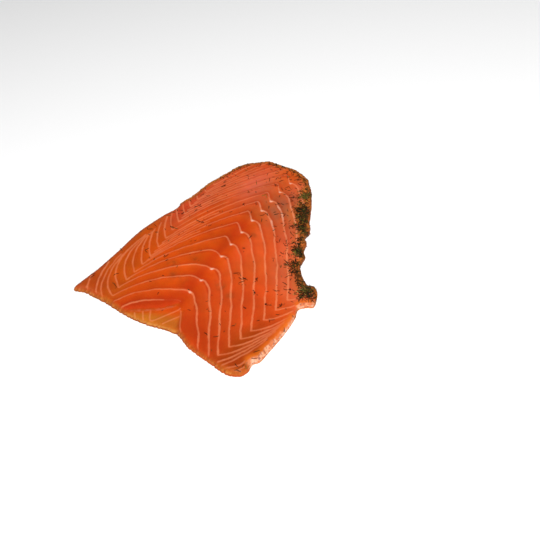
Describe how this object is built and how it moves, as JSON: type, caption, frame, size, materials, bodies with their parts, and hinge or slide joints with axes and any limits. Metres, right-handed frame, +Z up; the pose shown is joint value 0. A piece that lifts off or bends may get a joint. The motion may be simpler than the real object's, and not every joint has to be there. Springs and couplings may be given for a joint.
{
  "type": "smoked salmon slice with dill",
  "caption": "Flat slice of smoked salmon with chevron fat lines in low relief, a crumbly dill crust along its rim and sprigs of dill on top.",
  "frame": {"origin": "centre of the footprint, on the surface that the slice lies on", "axes": "+X along the fillet's length, away from the thin tip; +Y across the fillet, towards the long top edge; +Z up"},
  "size_m": [0.201, 0.1468, 0.0069],
  "materials": {
    "flesh": "moist",
    "dill": "matte"
  },
  "bodies": {
    "root": {"salmon_slice": "flesh", "dill_crust": "dill"}
  },
  "joints": []
}
